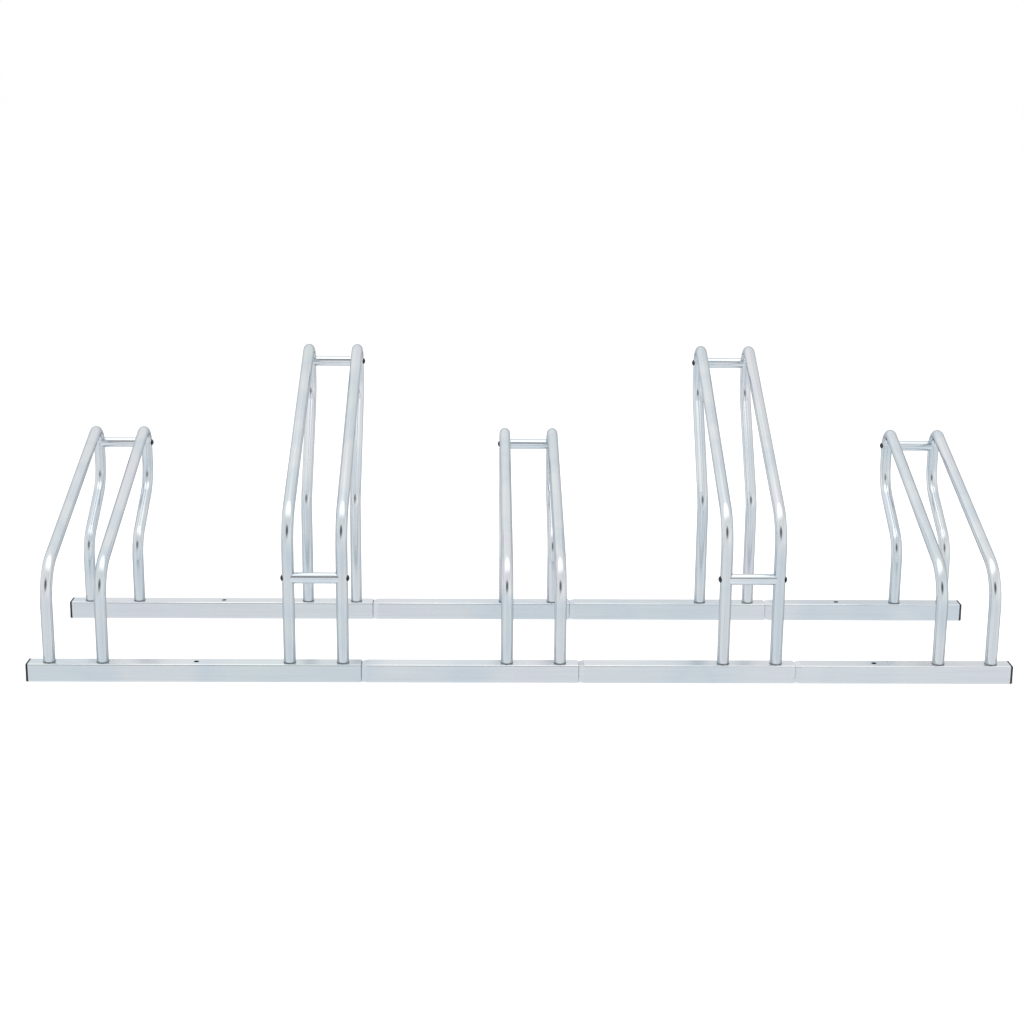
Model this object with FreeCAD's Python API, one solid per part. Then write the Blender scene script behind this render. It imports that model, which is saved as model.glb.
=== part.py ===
import FreeCAD, Part
import math
import os

# Floor bike rack: two square rails on the floor carry five wheel holders, low and high by turns.
# Each holder is a pair of bent round tubes (hoops) tied together by bolted crossbars.
# The rails come in sections that plug together: one base section for two holders, then one
# extension section for each further holder.
#
# X runs along the rails, Y from the front rail, over which a wheel rolls in, to the rear, Z up.
# The origin is on the floor under the middle of the rack. All sizes are in millimetres.

# Rails
rail_side = 25.0
rail_wall = 1.5
rail_corner = 2.5
rail_spacing = 275.0        # front rail to rear rail, centre to centre
base_lead = 62.0            # left end of the rails to the first holder
base_pitch = 320.0          # first holder to second, both on the base sections
extension_pitch = 290.0     # each further holder from the one before it
extension_count = 3
section_tail = 60.0         # last holder of a section to the right end of that section

# Plug-in joint between rail sections
neck_reach = 44.0           # length of an extension's necked end inside the section before it
neck_wall = 1.5
neck_corner = 2.2
neck_gap = 0.25             # play all round between the neck and the rail it enters
neck_taper = 8.0            # the neck swells out to the full section over this length

# Holes for fixing the rack to the floor
fixing_hole = 7.0
last_fixing_offset = 122.0  # last holder back to the fixing hole in its section

# Hoops
hoop_tube = 16.0
hoop_wall = 1.5
tyre_gap = 55.0             # clear width between the two hoops of a holder
rear_overhang = 110.0       # how far a hoop's top reaches behind the rear rail's centre
low_front_bend = 146.0      # heights of the corners of each hoop's centre line
low_apex = 268.5
low_upper_bend = 180.0
low_lower_bend = 114.0
high_front_bend = 216.5
high_apex = 399.0
high_upper_bend = 319.0
high_lower_bend = 176.0
front_bend_radius = 58.0    # bending radii of the centre line
apex_radius = 23.0
upper_bend_radius = 50.0
lower_bend_radius = 45.0
foot_gap = 0.3              # play all round between a hoop's foot and its hole in the rail

# Fixing of each foot: a countersunk screw from below into a threaded plug in the tube
foot_screw = 5.0
foot_screw_head = 9.4
foot_screw_length = 16.0
foot_screw_recess = 0.2     # the head lies this far above the floor
foot_socket = 3.0           # hexagon socket, across flats
foot_socket_depth = 1.3
sink_gap = 0.15             # play between the screw's cone and the pressed seat
foot_plug_length = 14.0
foot_plug_lift = 0.3        # the plug clears the pressed seat by this much

# Crossbars and their bolts
bar_tube = 15.0
bar_wall = 1.5
cope_gap = 0.1              # play between a crossbar's saddle-shaped end and the hoop
top_bar_rise = 2.0          # top crossbar above the end of the apex bend
front_bar_height = 142.0    # front crossbar of the high holders
bar_plug_length = 12.0
bar_plug_inset = 0.6        # threaded plug behind the middle of the saddle
bar_bolt = 5.0
bar_bolt_length = 25.0
bar_bolt_head = 9.5
bar_bolt_head_height = 2.75
bolt_socket = 3.0           # hexagon socket, across flats
bolt_socket_depth = 1.6
bolt_hole_gap = 0.25        # play round the bolt in the hoop
seat_flat = 0.4             # depth of the flat pressed into the hoop under a bolt head
seat_length = 13.0

# End caps
cap_flange = 3.0
cap_edge = 0.6
cap_depth = 13.0
cap_wall = 1.4
cap_body_gap = 0.6          # cap body to the rail's inner wall
cap_rib_gap = 0.08          # ribs to the rail's inner wall
cap_rib_width = 0.9
cap_rib_pitch = 3.6
cap_rib_count = 3

# Fits
thread_gap = 0.05
plug_gap = 0.05

# Values that follow from the sizes above
hoop_radius = hoop_tube / 2
hoop_bore = hoop_radius - hoop_wall
pair_spacing = tyre_gap + hoop_tube
rail_length = base_lead + base_pitch + extension_count * extension_pitch + section_tail
left_end = -rail_length / 2
right_end = rail_length / 2
rack_depth = rail_side / 2 + rail_spacing + rear_overhang + hoop_radius
front_y = -rack_depth / 2 + rail_side / 2
rear_y = front_y + rail_spacing
apex_y = rear_y + rear_overhang
neck_side = rail_side - 2 * rail_wall - 2 * neck_gap
foot_height = rail_wall
sink_radius = foot_screw_head / 2 + foot_screw_recess + sink_gap
sink_height = sink_radius - foot_screw / 2 - sink_gap
seat_lift = rail_wall * math.tan(math.radians(22.5))
seat_top = sink_height + rail_wall
holder_xs = [left_end + base_lead, left_end + base_lead + base_pitch]
for step in range(extension_count):
    holder_xs.append(holder_xs[-1] + extension_pitch)
joint_xs = [x + section_tail for x in holder_xs[1:-1]]
fixing_xs = [(holder_xs[0] + holder_xs[1]) / 2, holder_xs[-1] - last_fixing_offset]
rails = {"front": front_y, "rear": rear_y}
up = FreeCAD.Vector(0, 0, 1)
along = FreeCAD.Vector(1, 0, 0)


def save(name, shapes):
    """Writes one node; several shapes become one group of separate solids."""
    shape = Part.makeCompound(shapes) if len(shapes) > 1 else shapes[0]
    shape.exportStep("parts/" + name + ".step")


def rounded_square(side, corner, x, y):
    """Outline of a square tube in the plane X = x, standing on the floor line of a rail."""
    low_z = (rail_side - side) / 2
    half = side / 2
    box = Part.makeBox(1, side, side, FreeCAD.Vector(x, y - half, low_z))
    edges = [e for e in box.Edges if abs(e.Vertexes[0].X - e.Vertexes[1].X) > 0.5]
    face = [f for f in box.makeFillet(corner, edges).Faces if f.CenterOfMass.x < x + 0.01][0]
    return face.OuterWire


def square_bar(side, corner, x0, x1, y):
    """Solid rounded square bar from x0 to x1."""
    face = Part.Face(rounded_square(side, corner, x0, y))
    return face.extrude(FreeCAD.Vector(x1 - x0, 0, 0))


def square_tube(side, wall, corner, x0, x1, y):
    outer = square_bar(side, corner, x0, x1, y)
    inner = square_bar(side - 2 * wall, corner - wall, x0, x1, y)
    return outer.cut(inner)


def taper(side0, corner0, side1, corner1, x0, x1, y):
    """Solid that swells from one rounded square to another."""
    ends = [rounded_square(side0, corner0, x0, y), rounded_square(side1, corner1, x1, y)]
    return Part.makeLoft(ends, True, True)


def necked_tube(x_joint, x_end, y):
    """Extension section: a neck, a taper and the full square tube, in one piece."""
    x_full = x_joint + neck_taper
    bore_side = rail_side - 2 * rail_wall
    bore_corner = rail_corner - rail_wall
    neck_bore = neck_side - 2 * neck_wall
    neck_bore_corner = neck_corner - neck_wall
    outer = square_bar(neck_side, neck_corner, x_joint - neck_reach, x_joint, y)
    outer = outer.fuse(taper(neck_side, neck_corner, rail_side, rail_corner, x_joint, x_full, y))
    outer = outer.fuse(square_bar(rail_side, rail_corner, x_full, x_end, y))
    inner = square_bar(neck_bore, neck_bore_corner, x_joint - neck_reach, x_joint, y)
    inner = inner.fuse(taper(neck_bore, neck_bore_corner, bore_side, bore_corner, x_joint, x_full, y))
    inner = inner.fuse(square_bar(bore_side, bore_corner, x_full, x_end, y))
    return outer.cut(inner)


def foot_xs(holder_x):
    return [holder_x - pair_spacing / 2, holder_x + pair_spacing / 2]


def drill(shape, x, y, z0, z1, radius):
    return shape.cut(Part.makeCylinder(radius, z1 - z0, FreeCAD.Vector(x, y, z0), up))


def seat_foot(rail, x, y):
    """Opens the top wall for a foot and presses a countersunk seat into the bottom wall."""
    rail = drill(rail, x, y, rail_side / 2, rail_side + 1, hoop_radius + foot_gap)
    boss_low = sink_radius + seat_lift
    boss_high = sink_radius - sink_height + seat_lift
    boss = Part.makeCone(boss_low, boss_high, sink_height, FreeCAD.Vector(x, y, 0), up)
    lip = Part.makeCylinder(boss_high, rail_wall, FreeCAD.Vector(x, y, sink_height), up)
    rail = rail.fuse([boss, lip])
    sink = Part.makeCone(sink_radius, sink_radius - sink_height, sink_height, FreeCAD.Vector(x, y, 0), up)
    rail = rail.cut(sink)
    return drill(rail, x, y, 0, seat_top + 1, foot_screw / 2 + sink_gap)


def rail_section(index, y):
    """One section of a rail; section 0 is the base with two holders."""
    last = index == extension_count
    x_end = right_end if last else joint_xs[index]
    if index == 0:
        section = square_tube(rail_side, rail_wall, rail_corner, left_end, x_end, y)
        holders = holder_xs[:2]
    else:
        section = necked_tube(joint_xs[index - 1], x_end, y)
        holders = [holder_xs[index + 1]]
        pinned_x = foot_xs(holder_xs[index])[1]
        section = drill(section, pinned_x, y, 0, rail_side, hoop_radius + foot_gap + neck_gap)
    for holder_x in holders:
        for x in foot_xs(holder_x):
            section = seat_foot(section, x, y)
    if index == 0:
        section = drill(section, fixing_xs[0], y, 0, rail_side, fixing_hole / 2)
    if last:
        section = drill(section, fixing_xs[1], y, 0, rail_side, fixing_hole / 2)
    return section.removeSplitter()


def end_cap(x_end, outward, y):
    """Plastic cap: a flange over the rail's end and a ribbed hollow body inside it."""
    bore_side = rail_side - 2 * rail_wall
    bore_corner = rail_corner - rail_wall
    body_side = bore_side - 2 * cap_body_gap
    flange_x0 = min(x_end, x_end + outward * cap_flange)
    flange = square_bar(rail_side, rail_corner, flange_x0, flange_x0 + cap_flange, y)
    face_x = x_end + outward * cap_flange
    rim = [e for e in flange.Edges if all(abs(v.X - face_x) < 0.01 for v in e.Vertexes)]
    flange = flange.makeFillet(cap_edge, rim)
    tip_x = x_end - outward * cap_depth
    body = square_bar(body_side, bore_corner, min(x_end, tip_x), max(x_end, tip_x), y)
    cap = flange.fuse(body)
    for rib in range(cap_rib_count):
        rib_x = x_end - outward * cap_rib_pitch * (rib + 1)
        rib_side = bore_side - 2 * cap_rib_gap
        cap = cap.fuse(square_bar(rib_side, bore_corner, rib_x - cap_rib_width / 2, rib_x + cap_rib_width / 2, y))
    hollow_side = body_side - 2 * cap_wall
    hollow = square_bar(hollow_side, bore_corner / 2, min(x_end, tip_x), max(x_end, tip_x), y)
    return cap.cut(hollow).removeSplitter()


def bent_line(corners, radii):
    """Centre line of a bent tube: straight runs joined by tangent arcs, as a wire."""
    edges = []
    start = corners[0]
    for before, corner, after, radius in zip(corners, corners[1:], corners[2:], radii):
        back = (before - corner).normalize()
        ahead = (after - corner).normalize()
        turn = math.pi - back.getAngle(ahead)
        reach = radius * math.tan(turn / 2)
        centre = corner + (back + ahead).normalize() * math.hypot(radius, reach)
        arc_start = corner + back * reach
        arc_end = corner + ahead * reach
        arc_middle = centre + (corner - centre).normalize() * radius
        edges.append(Part.LineSegment(start, arc_start).toShape())
        edges.append(Part.Arc(arc_start, arc_middle, arc_end).toShape())
        start = arc_end
    edges.append(Part.LineSegment(start, corners[-1]).toShape())
    return Part.Wire(edges)


def hoop_line(x, high):
    """Centre line of a hoop, from its front foot over the apex to its rear foot."""
    heights = (low_front_bend, low_apex, low_upper_bend, low_lower_bend)
    if high:
        heights = (high_front_bend, high_apex, high_upper_bend, high_lower_bend)
    front_bend, apex, upper_bend, lower_bend = heights
    corners = [
        FreeCAD.Vector(x, front_y, foot_height),
        FreeCAD.Vector(x, front_y, front_bend),
        FreeCAD.Vector(x, apex_y, apex),
        FreeCAD.Vector(x, apex_y, upper_bend),
        FreeCAD.Vector(x, rear_y, lower_bend),
        FreeCAD.Vector(x, rear_y, foot_height),
    ]
    return bent_line(corners, [front_bend_radius, apex_radius, upper_bend_radius, lower_bend_radius])


def pipe(line, radius):
    """Round bar along a centre line that starts straight up."""
    ring = Part.makeCircle(radius, line.Vertexes[0].Point, up)
    return line.makePipe(Part.Face(Part.Wire(ring)))


def top_bar_height(high):
    """The top crossbar sits where the apex bend runs out into the rear leg."""
    bend_end = hoop_line(0, high).Edges[3].Vertexes[-1].Point
    return bend_end.z + top_bar_rise


def bar_places(index):
    """(y, z) of each crossbar of a holder."""
    high = index % 2 == 1
    places = [(apex_y, top_bar_height(high))]
    if high:
        places.append((front_y, front_bar_height))
    return places


def hoop(index, side):
    """Bent tube with bolt holes, and flats under the bolt heads; side is -1 left, +1 right."""
    x = holder_xs[index] + side * pair_spacing / 2
    line = hoop_line(x, index % 2 == 1)
    tube = pipe(line, hoop_radius).cut(pipe(line, hoop_bore))
    for y, z in bar_places(index):
        hole = Part.makeCylinder(
            bar_bolt / 2 + bolt_hole_gap, 2 * hoop_tube, FreeCAD.Vector(x - hoop_tube, y, z), along
        )
        flat_x = x + side * (hoop_radius - seat_flat)
        flat = Part.makeBox(
            hoop_tube, hoop_tube, seat_length,
            FreeCAD.Vector(min(flat_x, flat_x + side * hoop_tube), y - hoop_radius, z - seat_length / 2)
        )
        tube = tube.cut([hole, flat])
    return tube


def crossbar(index, y, z):
    """Tube between the hoops of a holder, its ends shaped to saddle them."""
    x = holder_xs[index]
    start = FreeCAD.Vector(x - pair_spacing / 2, y, z)
    bar = Part.makeCylinder(bar_tube / 2, pair_spacing, start, along)
    bar = bar.cut(Part.makeCylinder(bar_tube / 2 - bar_wall, pair_spacing, start, along))
    for foot_x in foot_xs(x):
        bar = bar.cut(pipe(hoop_line(foot_x, index % 2 == 1), hoop_radius + cope_gap))
    return max(bar.Solids, key=lambda solid: solid.Volume)


def hexagon(across_flats, centre, axis):
    """Hexagonal outline round a centre, square to an axis."""
    first = axis.cross(up) if axis.cross(up).Length > 0.5 else along
    second = axis.cross(first)
    reach = across_flats / math.sqrt(3)
    corners = []
    for step in range(7):
        angle = math.radians(60 * step)
        corners.append(centre + first * (reach * math.cos(angle)) + second * (reach * math.sin(angle)))
    return Part.makePolygon(corners)


def socket(across_flats, depth, mouth, inward):
    """Hexagon socket, cut from its mouth inwards."""
    return Part.Face(hexagon(across_flats, mouth, inward)).extrude(inward * depth)


def crossbar_plug(index, side, y, z):
    """Threaded plug pressed into the end of a crossbar."""
    outer_x = holder_xs[index] + side * (tyre_gap / 2 - bar_plug_inset)
    start = FreeCAD.Vector(outer_x, y, z)
    inward = along * -side
    body = Part.makeCylinder(bar_tube / 2 - bar_wall - plug_gap, bar_plug_length, start, inward)
    return body.cut(Part.makeCylinder(bar_bolt / 2 + thread_gap, bar_plug_length, start, inward))


def crossbar_bolt(index, side, y, z):
    """Button-head bolt from the outer side of a hoop into the crossbar's plug."""
    seat_x = holder_xs[index] + side * (pair_spacing / 2 + hoop_radius - seat_flat)
    seat = FreeCAD.Vector(seat_x, y, z)
    inward = along * -side
    shank = Part.makeCylinder(bar_bolt / 2, bar_bolt_length, seat, inward)
    dome_radius = (bar_bolt_head ** 2 / 4 + bar_bolt_head_height ** 2) / (2 * bar_bolt_head_height)
    ball_centre = seat + inward * (dome_radius - bar_bolt_head_height)
    dome = Part.makeSphere(dome_radius, ball_centre)
    head = Part.makeCylinder(bar_bolt_head / 2, bar_bolt_head_height, seat, inward * -1).common(dome)
    top = seat - inward * bar_bolt_head_height
    return shank.fuse(head).cut(socket(bolt_socket, bolt_socket_depth, top, inward))


def foot_plug(x, y):
    """Threaded plug pressed into the foot of a hoop."""
    start = FreeCAD.Vector(x, y, seat_top + foot_plug_lift)
    body = Part.makeCylinder(hoop_bore - plug_gap, foot_plug_length, start, up)
    return body.cut(Part.makeCylinder(foot_screw / 2 + thread_gap, foot_plug_length, start, up))


def foot_fixing_screw(x, y):
    """Countersunk screw from under the rail into a foot plug."""
    cone_height = (foot_screw_head - foot_screw) / 2
    start = FreeCAD.Vector(x, y, foot_screw_recess)
    cone = Part.makeCone(foot_screw_head / 2, foot_screw / 2, cone_height, start, up)
    shank = Part.makeCylinder(foot_screw / 2, foot_screw_length, start, up)
    return cone.fuse(shank).cut(socket(foot_socket, foot_socket_depth, start, up))


def build_rails():
    for row, y in rails.items():
        save(row + "_rail_base", [rail_section(0, y)])
        for index in range(1, extension_count + 1):
            save(row + "_rail_extension_" + str(index), [rail_section(index, y)])
        save(row + "_end_cap_left", [end_cap(left_end, -1, y)])
        save(row + "_end_cap_right", [end_cap(right_end, 1, y)])


def build_holders():
    bolts = []
    bar_plugs = []
    for index in range(len(holder_xs)):
        kind = "high" if index % 2 == 1 else "low"
        name = kind + "_holder_" + str(index + 1)
        save(name + "_hoop_left", [hoop(index, -1)])
        save(name + "_hoop_right", [hoop(index, 1)])
        for label, (y, z) in zip(("top", "front"), bar_places(index)):
            save(name + "_" + label + "_crossbar", [crossbar(index, y, z)])
            for side in (-1, 1):
                bolts.append(crossbar_bolt(index, side, y, z))
                bar_plugs.append(crossbar_plug(index, side, y, z))
    save("crossbar_bolts", bolts)
    save("crossbar_threaded_plugs", bar_plugs)


def build_foot_fixings():
    plugs = []
    screws = []
    for holder_x in holder_xs:
        for x in foot_xs(holder_x):
            for y in rails.values():
                plugs.append(foot_plug(x, y))
                screws.append(foot_fixing_screw(x, y))
    save("foot_threaded_plugs", plugs)
    save("foot_screws", screws)


os.makedirs("parts", exist_ok=True)
build_rails()
build_holders()
build_foot_fixings()
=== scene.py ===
import math

import bpy
from mathutils import Matrix

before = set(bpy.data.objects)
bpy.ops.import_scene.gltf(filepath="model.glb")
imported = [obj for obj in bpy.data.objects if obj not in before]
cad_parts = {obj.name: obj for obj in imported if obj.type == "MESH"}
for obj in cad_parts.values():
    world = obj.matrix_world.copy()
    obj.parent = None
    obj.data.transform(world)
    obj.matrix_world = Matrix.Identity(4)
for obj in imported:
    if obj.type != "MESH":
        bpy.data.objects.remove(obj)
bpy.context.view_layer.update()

print("frame loaded:", len(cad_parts), "nodes")


# helpers for node materials: each takes the node tree's nodes and links, and most return a socket

def newMaterial(name):
    material = bpy.data.materials.new(name)
    material.use_nodes = True
    nodes = material.node_tree.nodes
    return material, nodes, material.node_tree.links, nodes["Principled BSDF"]


def objectPattern(nodes, links, scale, detail=2.0, distortion=0.0):
    # noise on the piece's own object coordinates, stretched by a scale for each axis
    coords = nodes.new("ShaderNodeTexCoord")
    mapping = nodes.new("ShaderNodeMapping")
    mapping.inputs["Scale"].default_value = scale
    noise = nodes.new("ShaderNodeTexNoise")
    noise.inputs["Scale"].default_value = 1.0
    noise.inputs["Detail"].default_value = detail
    noise.inputs["Distortion"].default_value = distortion
    links.new(coords.outputs["Object"], mapping.inputs["Vector"])
    links.new(mapping.outputs["Vector"], noise.inputs["Vector"])
    return noise.outputs["Fac"]


def objectHeight(nodes, links):
    place = nodes.new("ShaderNodeSeparateXYZ")
    links.new(nodes.new("ShaderNodeTexCoord").outputs["Object"], place.inputs["Vector"])
    return place.outputs["Z"]


def ramp(nodes, links, value, stops):
    node = nodes.new("ShaderNodeValToRGB")
    elements = node.color_ramp.elements
    for element, (place, colour) in ((elements[0], stops[0]), (elements[1], stops[-1])):
        element.position = place
        element.color = (*colour, 1.0)
    for place, colour in stops[1:-1]:
        elements.new(place).color = (*colour, 1.0)
    links.new(value, node.inputs["Fac"])
    return node.outputs["Color"]


def spread(nodes, links, value, low, high, fromLow=0.3, fromHigh=0.7):
    # the defaults take in nearly all of a noise pattern's values
    node = nodes.new("ShaderNodeMapRange")
    node.inputs["From Min"].default_value = fromLow
    node.inputs["From Max"].default_value = fromHigh
    node.inputs["To Min"].default_value = low
    node.inputs["To Max"].default_value = high
    links.new(value, node.inputs["Value"])
    return node.outputs["Result"]


def combine(nodes, links, operation, first, second):
    node = nodes.new("ShaderNodeMath")
    node.operation = operation
    for socket, value in zip(node.inputs, (first, second)):
        if isinstance(value, (int, float)):
            socket.default_value = value
        else:
            links.new(value, socket)
    return node.outputs["Value"]


def addBump(nodes, links, shader, height, distance):
    bump = nodes.new("ShaderNodeBump")
    bump.inputs["Strength"].default_value = 1.0
    bump.inputs["Distance"].default_value = distance
    links.new(height, bump.inputs["Height"])
    links.new(bump.outputs["Normal"], shader.inputs["Normal"])


def dress(nodeNames, material):
    for name in nodeNames:
        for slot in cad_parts[name].material_slots:
            slot.material = material


def nodesNamed(word):
    return [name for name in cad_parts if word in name]


# zinc plated steel of hoops, crossbars and rails; lengths in metres, scales per metre

zinc = {
    "tints": [                          # place in the clouds' noise, and colour
        (0.30, (0.655, 0.713, 0.718)),  # teal
        (0.43, (0.615, 0.670, 0.718)),  # cool
        (0.55, (0.690, 0.722, 0.738)),  # plain
        (0.70, (0.685, 0.697, 0.740)),  # lilac
    ],
    "cloudSwirl": 0.4,
    "smudgeScale": 42.0,
    "smudgeDetail": 4.0,
    "smudgeShare": 0.75,                # of the roughness pattern, the rest is drawn lines
    "drawLines": 1500.0,                # fine lines left by drawing the tube, across it
    "streaks": 380.0,                   # broader streaks of tone, across it
    "lineLength": 9.0,                  # both along the tube
    # painted shade where two pieces meet and around a hoop's foot
    "contactShadeReach": 0.004,              # how near another face puts painted shade on this one
    "contactShadeDark": 0.75,
    "contactShadeOpen": (0.25, 0.8),         # painted shade from shut in to open
    "contactShadeHeight": (0.004, 0.008),    # no painted shade below this, along the floor
    "footShadeDark": 0.4,
    "footShadeReach": 0.002,                 # height of the painted shade around a hoop's foot
}
tubeZinc = {
    "brightness": 1.06,
    "clouds": 10.0,
    "edge": (0.55, 0.57, 0.59),
    "roughness": (0.11, 0.18),
    "streakTone": (0.97, 1.02),
    "lineDepth": 0.000006,
}
barZinc = {
    "brightness": 1.10,
    "clouds": 10.0,
    "edge": (0.66, 0.68, 0.70),
    "roughness": (0.14, 0.20),
    "streakTone": (0.96, 1.03),
    "lineDepth": 0.000003,
}
squareZinc = {
    "brightness": 1.07,
    "clouds": 4.5,
    "edge": (0.74, 0.75, 0.76),
    "roughness": (0.20, 0.29),
    "streakTone": (0.975, 1.02),
    "lineDepth": 0.000010,
}


def paintedContactShade(nodes, links):
    # painted shade: a thin dark line where two pieces meet, from ambient occlusion put into the base colour,
    # but none along the floor
    contactOcclusion = nodes.new("ShaderNodeAmbientOcclusion")
    contactOcclusion.inputs["Distance"].default_value = zinc["contactShadeReach"]
    contactShadeAmount = spread(nodes, links, contactOcclusion.outputs["AO"], zinc["contactShadeDark"], 0.0, *zinc["contactShadeOpen"])
    aboveFloor = spread(nodes, links, objectHeight(nodes, links), 0.0, 1.0, *zinc["contactShadeHeight"])
    return combine(nodes, links, "SUBTRACT", 1.0, combine(nodes, links, "MULTIPLY", contactShadeAmount, aboveFloor))


def paintedFootShade(nodes, links):
    # painted shade: a hoop's colour darkens just above the top of the rail that it stands in
    railTop = max(corner[2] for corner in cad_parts["front_rail_base"].bound_box)
    return spread(nodes, links, objectHeight(nodes, links), zinc["footShadeDark"], 1.0,
                  railTop, railTop + zinc["footShadeReach"])


def zincFinish(name, runs, look, shade):
    # runs is the axis that the lines follow, or the plane's two axes for a bent tube
    lineScale = [zinc["lineLength"] if axis in runs else zinc["drawLines"] for axis in "XYZ"]
    streakScale = [zinc["lineLength"] if axis in runs else zinc["streaks"] for axis in "XYZ"]
    material, nodes, links, shader = newMaterial(name)

    clouds = objectPattern(nodes, links, (look["clouds"],) * 3, distortion=zinc["cloudSwirl"])
    stops = [(place, tuple(part * look["brightness"] for part in colour)) for place, colour in zinc["tints"]]
    streaks = objectPattern(nodes, links, streakScale)
    # base colour: the tints times the streaks of tone and the painted shade
    tonedAndShaded = nodes.new("ShaderNodeVectorMath")
    tonedAndShaded.operation = "SCALE"
    links.new(ramp(nodes, links, clouds, stops), tonedAndShaded.inputs[0])
    links.new(combine(nodes, links, "MULTIPLY", shade(nodes, links),
                      spread(nodes, links, streaks, *look["streakTone"])), tonedAndShaded.inputs["Scale"])
    links.new(tonedAndShaded.outputs["Vector"], shader.inputs["Base Color"])

    smudges = objectPattern(nodes, links, (zinc["smudgeScale"],) * 3, detail=zinc["smudgeDetail"])
    lines = objectPattern(nodes, links, lineScale)
    mixed = combine(nodes, links, "ADD",
                    combine(nodes, links, "MULTIPLY", smudges, zinc["smudgeShare"]),
                    combine(nodes, links, "MULTIPLY", lines, 1.0 - zinc["smudgeShare"]))
    links.new(spread(nodes, links, mixed, *look["roughness"]), shader.inputs["Roughness"])
    addBump(nodes, links, shader, lines, look["lineDepth"])
    shader.inputs["Metallic"].default_value = 1.0
    shader.inputs["Specular Tint"].default_value = (*look["edge"], 1.0)
    return material


# a hoop lies in a plane of constant X, so lines that only X sets run along its bends too
dress(nodesNamed("_hoop_"), zincFinish("hoopZinc", "YZ", tubeZinc, paintedFootShade))
dress(nodesNamed("_crossbar"), zincFinish("crossbarZinc", "X", barZinc, paintedContactShade))
dress(nodesNamed("_rail_"), zincFinish("railZinc", "X", squareZinc, paintedContactShade))
print("zinc dressed")


# black plastic end caps

cap = {
    "colour": (0.012, 0.012, 0.013),
    "worn": (0.022, 0.022, 0.023),
    "wornPlaces": (0.4, 0.7),           # in the patches' noise
    "patchScale": 110.0,
    "patchDetail": 3.0,
    "grainScale": 900.0,
    "grainDepth": 0.00003,
    "roughness": (0.42, 0.58),
    "shine": 0.45,
}


def capPlastic():
    material, nodes, links, shader = newMaterial("capPlastic")
    grain = objectPattern(nodes, links, (cap["grainScale"],) * 3)
    patches = objectPattern(nodes, links, (cap["patchScale"],) * 3, detail=cap["patchDetail"])
    stops = list(zip(cap["wornPlaces"], (cap["colour"], cap["worn"])))
    links.new(ramp(nodes, links, patches, stops), shader.inputs["Base Color"])
    links.new(spread(nodes, links, patches, *cap["roughness"]), shader.inputs["Roughness"])
    addBump(nodes, links, shader, grain, cap["grainDepth"])
    shader.inputs["Specular IOR Level"].default_value = cap["shine"]
    return material


dress(nodesNamed("_end_cap_"), capPlastic())
print("caps dressed")


# bolts, screws and threaded plugs

wear = {
    "scale": 260.0,
    "detail": 4.0,
    "places": (0.42, 0.72),             # where the noise turns from a fastener's colour to its edge's
    "depth": 0.00002,
}
boltBlack = {
    "colour": (0.014, 0.014, 0.015),
    "edge": (0.035, 0.035, 0.037),
    "roughness": (0.30, 0.44),
    "metallic": 0.0,
}
screwZinc = {
    "colour": (0.50, 0.51, 0.52),
    "edge": (0.58, 0.59, 0.60),
    "roughness": (0.26, 0.38),
    "metallic": 1.0,
}
plugSteel = {
    "colour": (0.36, 0.365, 0.37),
    "edge": (0.44, 0.445, 0.45),
    "roughness": (0.32, 0.46),
    "metallic": 1.0,
}


def fastenerFinish(name, look):
    material, nodes, links, shader = newMaterial(name)
    worn = objectPattern(nodes, links, (wear["scale"],) * 3, detail=wear["detail"])
    stops = list(zip(wear["places"], (look["colour"], look["edge"])))
    links.new(ramp(nodes, links, worn, stops), shader.inputs["Base Color"])
    links.new(spread(nodes, links, worn, *look["roughness"]), shader.inputs["Roughness"])
    addBump(nodes, links, shader, worn, wear["depth"])
    shader.inputs["Metallic"].default_value = look["metallic"]
    return material


dress(["crossbar_bolts"], fastenerFinish("boltBlack", boltBlack))
dress(["foot_screws"], fastenerFinish("screwZinc", screwZinc))
dress(nodesNamed("_threaded_plugs"), fastenerFinish("plugSteel", plugSteel))
print("fasteners dressed")


# floor, lamp, sheets that metal reflects, and world

studio = {
    "floorSize": 60.0,
    "floorColour": (0.84, 0.84, 0.84),
    "floorGlow": 0.475,                 # white that the camera sees on top of the lit floor
    "worldFill": 0.62,
    "lampPlace": (0.0, -0.1, 2.6),
    "lampWatts": 36.0,
    "lampSize": (3.4, 2.2),
}

# the plain surroundings that metal reflects, as a share of white; edges are parts of the ray's direction
mirror = {
    "below": (0.965, 0.995, 1.025),     # tint of the lower half
    "belowEdge": (-0.1, 0.1),
    "haze": (0.83, 1.02),
    "hazeScale": 1.8,
    "hazeDetail": 1.0,
    "backWall": 1.12,                   # behind the rack, above the floor
    "backFloor": 0.80,
    "backEdge": (0.0, 0.6),
    "horizonEdge": (-0.29, -0.15),
    "right": 0.88,                      # the right side of what lies behind
    "rightEdge": (0.02, 0.35),
}

# soft-edged sheets that only reflections see: "solid" and "gone" say where the edge starts and ends to
# fade, as a share of the way from the middle of the sheet to its side
panels = {
    "overheadGlow": {
        "place": (-0.1, -0.05, 2.6),
        "turn": (0.0, 0.0, 0.0),
        "size": (6.4, 2.9),
        "light": 1.85,
        "solid": 0.0,
        "gone": 1.0,
    },
    "darkFlag": {
        "place": (-0.8, -6.0, 4.4),
        "turn": (90.0, 0.0, 0.0),
        "size": (8.8, 6.0),
        "light": 0.13,
        "solid": 0.35,
        "gone": 1.0,
    },
}


def seenDirectly(nodes, links, paths):
    # by the camera, or through glass
    return combine(nodes, links, "MAXIMUM",
                   paths.outputs["Is Camera Ray"], paths.outputs["Is Transmission Ray"])


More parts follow.
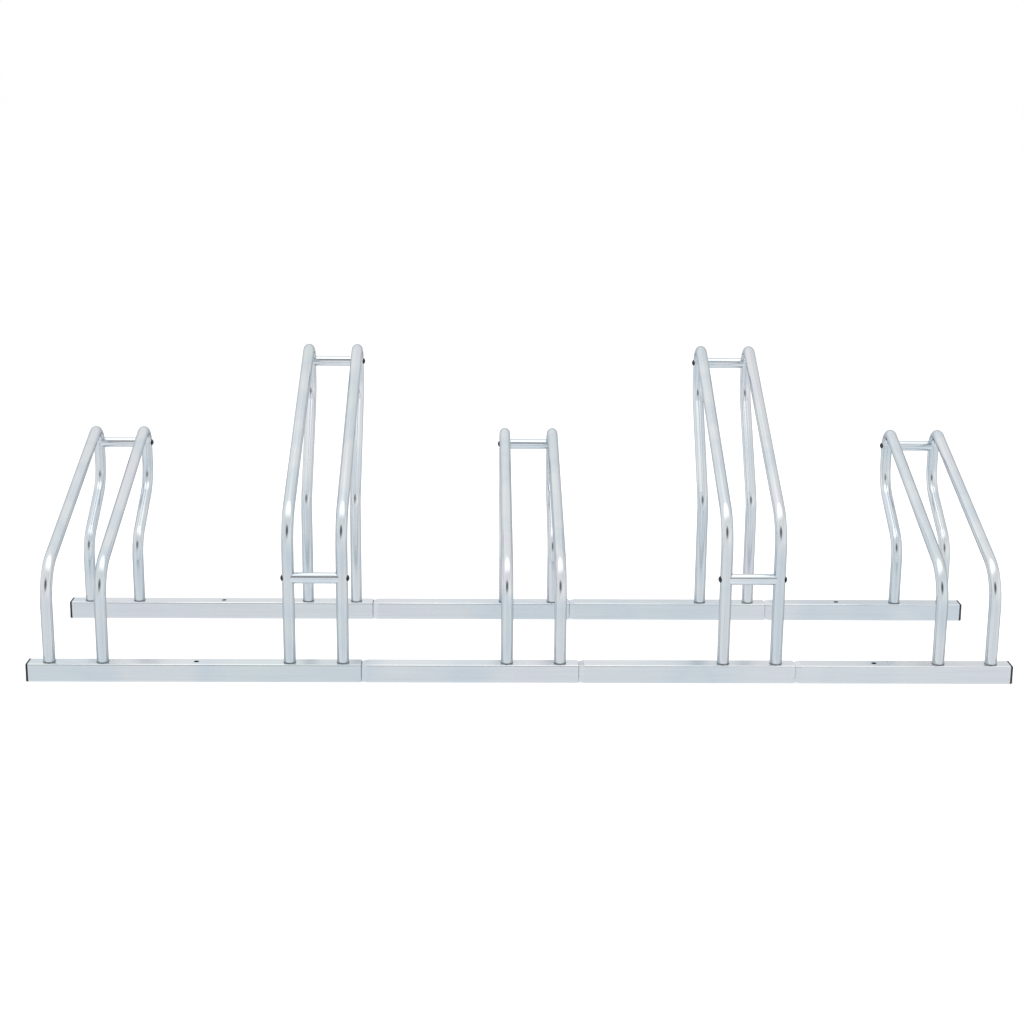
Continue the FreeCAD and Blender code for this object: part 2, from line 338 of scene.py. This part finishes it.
def floorMaterial():
    material, nodes, links, shader = newMaterial("floorPaper")
    shader.inputs["Base Color"].default_value = (*studio["floorColour"], 1.0)
    shader.inputs["Roughness"].default_value = 1.0
    shader.inputs["Specular IOR Level"].default_value = 0.0
    shader.inputs["Emission Color"].default_value = (1.0, 1.0, 1.0, 1.0)
    paths = nodes.new("ShaderNodeLightPath")
    links.new(combine(nodes, links, "MULTIPLY", seenDirectly(nodes, links, paths), studio["floorGlow"]),
              shader.inputs["Emission Strength"])
    return material


bpy.ops.mesh.primitive_plane_add(size=studio["floorSize"], location=(0, 0, 0))
floor = bpy.context.object
floor.name = "studioFloor"
floor.data.materials.append(floorMaterial())
floor.visible_glossy = False            # metal reflects the world's lower half in its place


def panelMaterial(name, panel):
    material, nodes, links, _ = newMaterial(name + "Light")
    coords = nodes.new("ShaderNodeTexCoord")
    distance = nodes.new("ShaderNodeVectorMath")
    distance.operation = "LENGTH"
    links.new(coords.outputs["Object"], distance.inputs[0])
    fade = nodes.new("ShaderNodeMapRange")
    fade.interpolation_type = "SMOOTHSTEP"
    fade.inputs["From Min"].default_value = panel["solid"]
    fade.inputs["From Max"].default_value = panel["gone"]
    links.new(distance.outputs["Value"], fade.inputs["Value"])
    glow = nodes.new("ShaderNodeEmission")
    glow.inputs["Strength"].default_value = panel["light"]
    clear = nodes.new("ShaderNodeBsdfTransparent")
    choose = nodes.new("ShaderNodeMixShader")
    links.new(fade.outputs["Result"], choose.inputs["Fac"])
    links.new(glow.outputs["Emission"], choose.inputs[1])
    links.new(clear.outputs["BSDF"], choose.inputs[2])
    links.new(choose.outputs["Shader"], nodes["Material Output"].inputs["Surface"])
    return material


for name, panel in panels.items():
    # a plane of 2 by 2, so that its object coordinates run from -1 to 1 at any scale
    bpy.ops.mesh.primitive_plane_add(size=2.0, location=panel["place"],
                                     rotation=[math.radians(angle) for angle in panel["turn"]])
    sheet = bpy.context.object
    sheet.name = name
    sheet.scale = (panel["size"][0] / 2, panel["size"][1] / 2, 1.0)
    sheet.data.materials.append(panelMaterial(name, panel))
    sheet.visible_camera = False
    sheet.visible_diffuse = False
    sheet.visible_shadow = False

bpy.ops.object.light_add(type="AREA", location=studio["lampPlace"])
lamp = bpy.context.object
lamp.name = "overheadSoftbox"
lamp.data.shape = "RECTANGLE"
lamp.data.size, lamp.data.size_y = studio["lampSize"]
lamp.data.energy = studio["lampWatts"]
lamp.visible_glossy = False             # the overhead glow is what metal reflects of it


def reflectedLight(nodes, links, direction, facing):
    # what metal reflects: white with a slow haze, and its own levels behind the rack
    haze = nodes.new("ShaderNodeTexNoise")
    haze.inputs["Scale"].default_value = mirror["hazeScale"]
    haze.inputs["Detail"].default_value = mirror["hazeDetail"]
    links.new(direction, haze.inputs["Vector"])
    hazy = spread(nodes, links, haze.outputs["Fac"], *mirror["haze"])
    behind = spread(nodes, links, facing.outputs["Y"], 0.0, 1.0, *mirror["backEdge"])
    onRight = spread(nodes, links, facing.outputs["X"], 1.0, mirror["right"], *mirror["rightEdge"])
    wallOrFloor = spread(nodes, links, facing.outputs["Z"], mirror["backFloor"], mirror["backWall"],
                         *mirror["horizonEdge"])
    blend = nodes.new("ShaderNodeMix")
    blend.inputs["A"].default_value = 1.0
    links.new(behind, blend.inputs["Factor"])
    links.new(combine(nodes, links, "MULTIPLY", onRight, wallOrFloor), blend.inputs["B"])
    return combine(nodes, links, "MULTIPLY", hazy, blend.outputs["Result"])


def studioWorld():
    world = bpy.data.worlds.new("studioWorld")
    world.use_nodes = True
    nodes = world.node_tree.nodes
    links = world.node_tree.links
    background = nodes["Background"]
    paths = nodes.new("ShaderNodeLightPath")
    direction = nodes.new("ShaderNodeTexCoord").outputs["Generated"]
    facing = nodes.new("ShaderNodeSeparateXYZ")
    links.new(direction, facing.inputs["Vector"])

    inMetal = combine(nodes, links, "MULTIPLY", paths.outputs["Is Glossy Ray"],
                      reflectedLight(nodes, links, direction, facing))
    direct = combine(nodes, links, "ADD", seenDirectly(nodes, links, paths), inMetal)
    indirect = combine(nodes, links, "MULTIPLY", paths.outputs["Is Diffuse Ray"], studio["worldFill"])
    links.new(combine(nodes, links, "ADD", direct, indirect), background.inputs["Strength"])

    tinted = combine(nodes, links, "MULTIPLY", paths.outputs["Is Glossy Ray"],
                     spread(nodes, links, facing.outputs["Z"], 1.0, 0.0, *mirror["belowEdge"]))
    links.new(ramp(nodes, links, tinted, [(0.0, (1.0, 1.0, 1.0)), (1.0, mirror["below"])]),
              background.inputs["Color"])
    return world


bpy.context.scene.world = studioWorld()
print("studio ready")


# camera at the photograph's place; angles in radians

cameraSettings = {
    "place": (-0.0572, -2.5329, 0.8443),
    "lens": 64.93,
    "sensorWidth": 36.0,
    "yaw": 0.0183,
    "pitch": 0.2552,
    "roll": 0.0087,
}
bpy.ops.object.camera_add(location=cameraSettings["place"])
camera = bpy.context.object
camera.name = "photoCamera"
turn = (Matrix.Rotation(-cameraSettings["yaw"], 3, "Z")
        @ Matrix.Rotation(math.pi / 2 - cameraSettings["pitch"], 3, "X")
        @ Matrix.Rotation(cameraSettings["roll"], 3, "Z"))
camera.rotation_euler = turn.to_euler()
camera.data.sensor_fit = "HORIZONTAL"
camera.data.sensor_width = cameraSettings["sensorWidth"]
camera.data.lens = cameraSettings["lens"]
bpy.context.scene.camera = camera
bpy.context.scene.view_settings.view_transform = "Standard"
print("camera placed")
